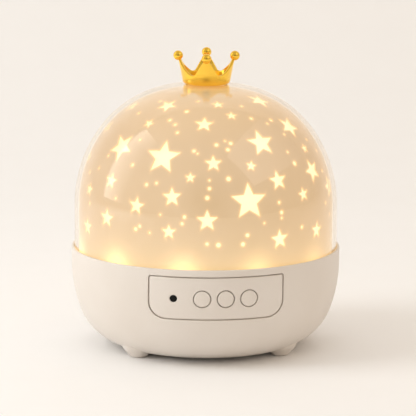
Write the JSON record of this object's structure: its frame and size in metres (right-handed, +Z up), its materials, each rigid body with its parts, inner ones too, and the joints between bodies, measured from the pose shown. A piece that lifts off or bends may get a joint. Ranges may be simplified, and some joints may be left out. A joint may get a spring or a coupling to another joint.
{
  "type": "star night light projector",
  "caption": "Night light with a round base, a clear lift-off dome with a crown, a turning star mask over a lamp, and push buttons on the front.",
  "frame": {"origin": "on the standing surface, under the middle of the round base", "axes": "+Z up along the axis of the dome and of the turning star mask; the front with the buttons faces -Y"},
  "size_m": [0.125, 0.125, 0.1382],
  "materials": {
    "shell_white": "satin",
    "panel_white": "satin",
    "button_grey": "satin",
    "window_black": "gloss",
    "inner_white": "matte",
    "gear_white": "satin",
    "steel": "brushed",
    "circuit_green": "satin",
    "circuit_white": "satin",
    "black_plastic": "matte",
    "lamp_yellow": "gloss",
    "frosted_warm": "matte",
    "mask_tan": "satin",
    "clear_dome": "gloss",
    "gold": "mirror",
    "cell_wrap": "satin",
    "lead_red": "satin",
    "lead_white": "satin",
    "brass": "satin"
  },
  "bodies": {
    "base": {"base_shell": "shell_white", "foot_front_left": "shell_white", "foot_front_right": "shell_white", "foot_rear_left": "shell_white", "foot_rear_right": "shell_white", "control_panel": "panel_white", "receiver_window": "window_black", "infrared_receiver": "black_plastic", "switch_board": "circuit_green", "light_switch": "black_plastic", "colour_switch": "black_plastic", "motion_switch": "black_plastic", "top_deck": "inner_white", "motor_can": "steel", "motor_gearbox": "brass", "motor_bracket": "inner_white", "lamp_ring_board": "circuit_white", "ring_lamps": "lamp_yellow", "lamp_post": "inner_white", "main_lamp_board": "circuit_white", "main_lamps": "lamp_yellow", "lamp_lens": "frosted_warm", "battery_cell": "cell_wrap", "battery_holder": "black_plastic", "battery_contacts": "steel", "charging_socket": "steel", "charge_board": "circuit_green", "control_board": "circuit_green", "control_board_parts": "black_plastic", "battery_leads": "lead_red", "motor_lead": "lead_white", "lamp_lead": "lead_white", "charging_lead": "lead_white", "case_screws": "steel", "board_screws": "steel", "deck_screws": "steel"},
    "light_button": {"light_button": "button_grey", "light_switch_plunger": "black_plastic"},
    "colour_button": {"colour_button": "button_grey", "colour_switch_plunger": "black_plastic"},
    "motion_button": {"motion_button": "button_grey", "motion_switch_plunger": "black_plastic"},
    "dome": {"dome_cover": "clear_dome", "crown": "gold", "crown_washer": "steel"},
    "star_dome": {"turntable": "gear_white", "ring_gear": "gear_white", "frosted_dome": "frosted_warm", "star_mask": "mask_tan"},
    "drive": {"motor_shaft": "steel", "motor_pinion": "gear_white"}
  },
  "joints": [
    {"name": "star_dome_spin", "type": "hinge", "parent": "base", "child": "star_dome", "pos_m": [0, 0, 0.0425], "axis": [0, 0, 1], "continuous": true},
    {"name": "drive_spin", "type": "hinge", "parent": "base", "child": "drive", "pos_m": [0.03413, 0.02902, 0.0425], "axis": [0, 0, 1], "continuous": true},
    {"name": "dome_lift", "type": "slide", "parent": "base", "child": "dome", "axis": [0, 0, 1], "range_m": [0, 0.09]},
    {"name": "light_button_press", "type": "slide", "parent": "base", "child": "light_button", "axis": [0, 1, 0], "range_m": [0, 0.0006], "stiffness_N_per_m": 400, "springref_m": -0.0005},
    {"name": "colour_button_press", "type": "slide", "parent": "base", "child": "colour_button", "axis": [0, 1, 0], "range_m": [0, 0.0006], "stiffness_N_per_m": 400, "springref_m": -0.0005},
    {"name": "motion_button_press", "type": "slide", "parent": "base", "child": "motion_button", "axis": [0, 1, 0], "range_m": [0, 0.0006], "stiffness_N_per_m": 400, "springref_m": -0.0005}
  ],
  "couplings": [
    {"joint": "drive_spin", "follows": "star_dome_spin", "ratio": 9}
  ]
}
